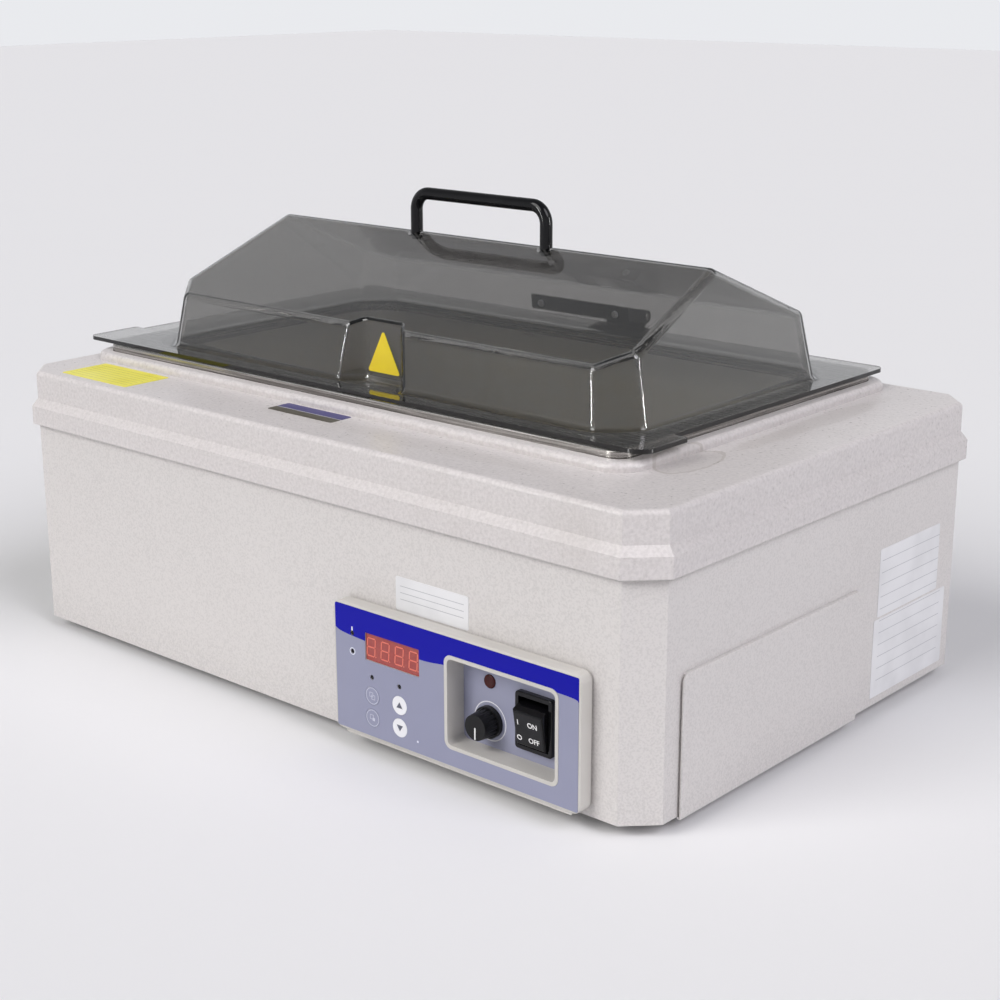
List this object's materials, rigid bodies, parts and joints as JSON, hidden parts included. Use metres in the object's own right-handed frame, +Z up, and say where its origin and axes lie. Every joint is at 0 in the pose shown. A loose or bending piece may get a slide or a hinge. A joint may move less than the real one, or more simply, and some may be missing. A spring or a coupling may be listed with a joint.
{
  "type": "laboratory water bath",
  "caption": "Bench water bath: chamfered steel case, stainless tank, hinged smoked gable lid, and a front panel with display, keys, safety knob and rocker.",
  "frame": {"origin": "Middle of the bath's footprint on the bench, under the feet", "axes": "+X to the right as seen from the control panel, +Y to the rear where the lid is hinged, +Z up"},
  "size_m": [0.6294, 0.4166, 0.3537],
  "materials": {
    "case_paint": "clean",
    "cover_enamel": "clean",
    "stainless": "clean",
    "smoked_clear": "clean",
    "black_gloss": "clean",
    "black_matte": "clean",
    "beige_plastic": "clean",
    "overlay_film": "clean",
    "display_red": "clean",
    "lamp_dark": "clean",
    "lens_red": "clean",
    "key_white": "clean",
    "zinc": "clean",
    "rubber_black": "clean",
    "silicone_grey": "clean",
    "insulation_white": "clean",
    "aluminium": "clean",
    "board_green": "clean",
    "copper": "clean",
    "wire_jacket": "clean",
    "label_white": "clean",
    "label_yellow": "clean",
    "label_dark": "clean"
  },
  "bodies": {
    "bath": {"case_shell": "case_paint", "base_plate": "zinc", "foot_front_left": "rubber_black", "foot_front_right": "rubber_black", "foot_rear_left": "rubber_black", "foot_rear_right": "rubber_black", "foot_screws": "zinc", "top_cover": "cover_enamel", "cover_screws": "zinc", "tank": "stainless", "tank_gasket": "silicone_grey", "tank_insulation": "insulation_white", "heater_mat_left": "silicone_grey", "heater_mat_right": "silicone_grey", "heater_plate_left": "aluminium", "heater_plate_right": "aluminium", "heater_nuts": "zinc", "temperature_sensor": "zinc", "safety_bulb": "copper", "capillary_tube": "copper", "diffuser_shelf": "stainless", "hinge_base": "black_matte", "hinge_base_screws": "zinc", "front_bezel": "beige_plastic", "panel_overlay": "overlay_film", "display_window": "display_red", "display_module": "black_matte", "status_lamps": "lamp_dark", "control_board": "board_green", "board_standoffs": "zinc", "key_switches": "black_matte", "safety_lens": "lens_red", "safety_thermostat": "zinc", "thermostat_nut": "zinc", "rocker_switch_body": "black_matte", "side_access_cover": "case_paint", "side_cover_screws": "zinc", "power_inlet": "black_matte", "inlet_screws": "zinc", "power_supply": "zinc", "relay_heat_sink": "aluminium", "heater_relay": "black_matte", "wiring": "wire_jacket", "front_label": "label_white", "cover_label_yellow": "label_yellow", "cover_label_dark": "label_dark", "side_labels": "label_white"},
    "lid": {"lid_shell": "smoked_clear", "lid_handle": "black_gloss", "handle_screws": "black_matte", "hinge_plate": "black_matte", "hinge_plate_screws": "zinc", "hinge_pin": "stainless", "lid_label": "label_yellow"},
    "knob": {"safety_knob": "black_matte"},
    "rocker": {"power_rocker": "black_gloss"},
    "menu_key_body": {"menu_key": "overlay_film"},
    "set_key_body": {"set_key": "overlay_film"},
    "up_key_body": {"up_key": "key_white"},
    "down_key_body": {"down_key": "key_white"}
  },
  "joints": [
    {"name": "lid_hinge", "type": "hinge", "parent": "bath", "child": "lid", "pos_m": [-0.013, 0.1996, 0.2348], "axis": [-1, 0, 0], "range_deg": [0, 95]},
    {"name": "safety_knob_turn", "type": "hinge", "parent": "bath", "child": "knob", "pos_m": [0.1825, -0.1919, 0.0478], "axis": [0, 1, 0], "range_deg": [0, 300]},
    {"name": "power_rocker_tilt", "type": "hinge", "parent": "bath", "child": "rocker", "pos_m": [0.2223, -0.1838, 0.0578], "axis": [-1, 0, 0], "range_deg": [0, 20]},
    {"name": "menu_key_press", "type": "slide", "parent": "bath", "child": "menu_key_body", "axis": [0, 1, 0], "range_m": [0, 0.0004], "stiffness_N_per_m": 400},
    {"name": "set_key_press", "type": "slide", "parent": "bath", "child": "set_key_body", "axis": [0, 1, 0], "range_m": [0, 0.0004], "stiffness_N_per_m": 400},
    {"name": "up_key_press", "type": "slide", "parent": "bath", "child": "up_key_body", "axis": [0, 1, 0], "range_m": [0, 0.0004], "stiffness_N_per_m": 400},
    {"name": "down_key_press", "type": "slide", "parent": "bath", "child": "down_key_body", "axis": [0, 1, 0], "range_m": [0, 0.0004], "stiffness_N_per_m": 400}
  ]
}
